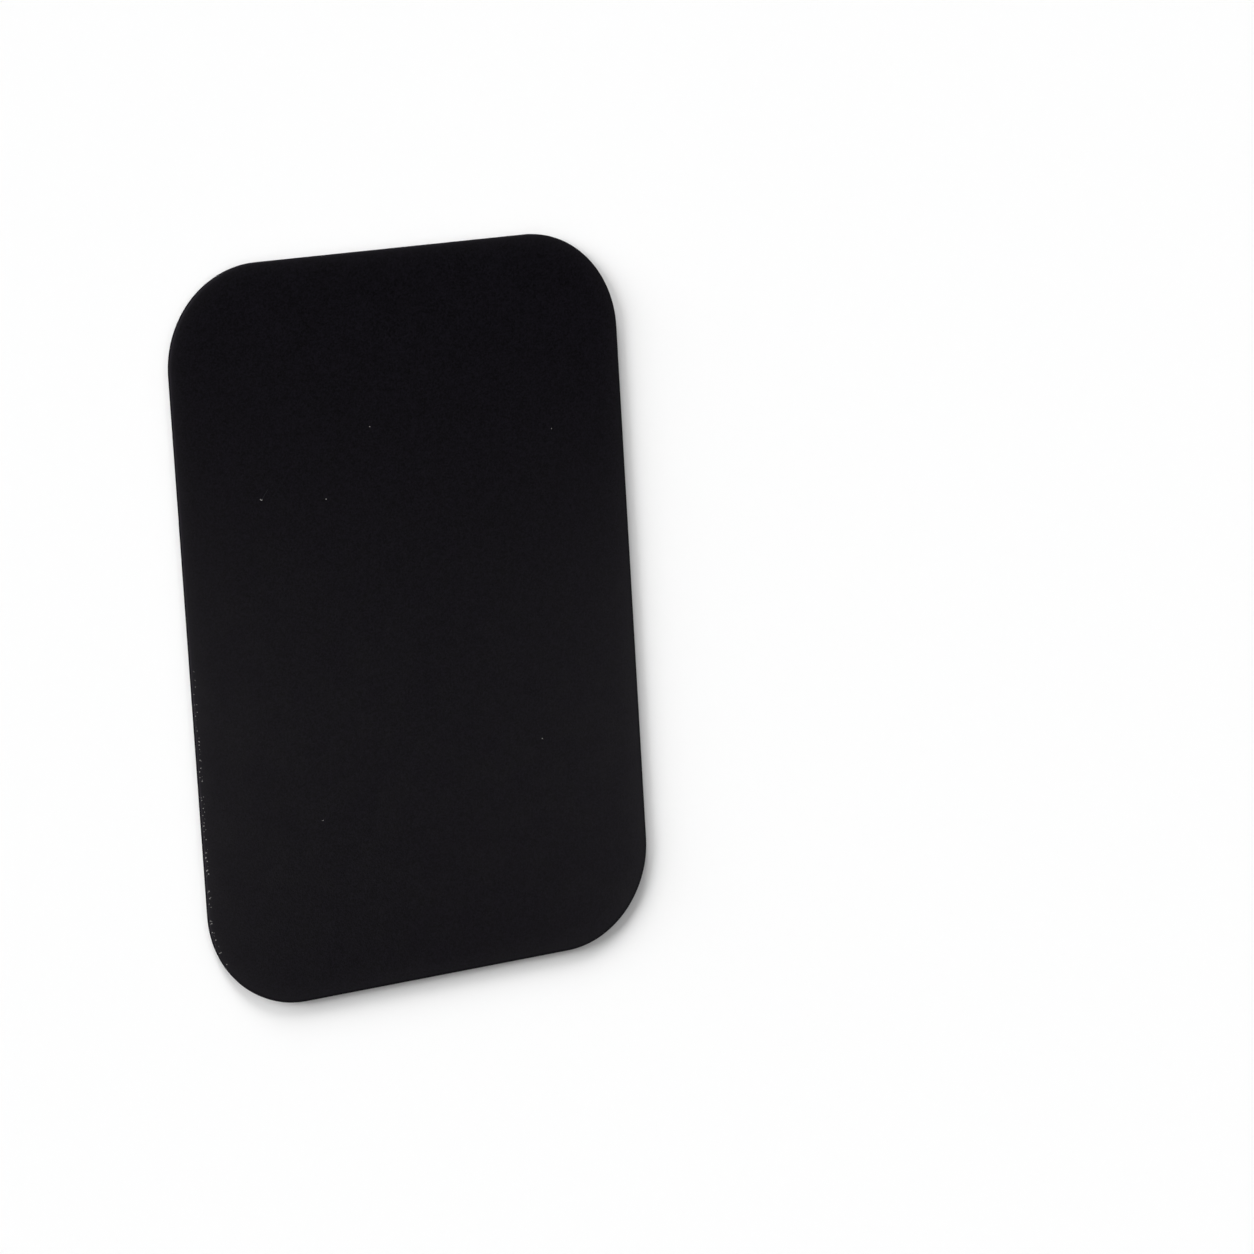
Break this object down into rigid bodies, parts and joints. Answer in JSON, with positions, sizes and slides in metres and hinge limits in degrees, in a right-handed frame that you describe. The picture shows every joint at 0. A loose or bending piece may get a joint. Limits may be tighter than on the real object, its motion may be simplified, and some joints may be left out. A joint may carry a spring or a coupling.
{
  "type": "magnetic phone mount plate",
  "caption": "Thin rounded-rectangle steel plate, coated black, with an adhesive back under a paper liner. It sticks to a phone so that a magnetic holder can grip it.",
  "frame": {"origin": "middle of the liner's underside, on the surface that the plate lies on", "axes": "+Z out of the steel face that meets the holder's magnets, +Y along the plate, +X across it"},
  "size_m": [0.045, 0.065, 0.0008],
  "materials": {
    "black_coat": "matte",
    "adhesive": "satin",
    "liner_paper": "satin"
  },
  "bodies": {
    "root": {"steel_plate": "black_coat", "adhesive_pad": "adhesive", "release_liner": "liner_paper"}
  },
  "joints": []
}
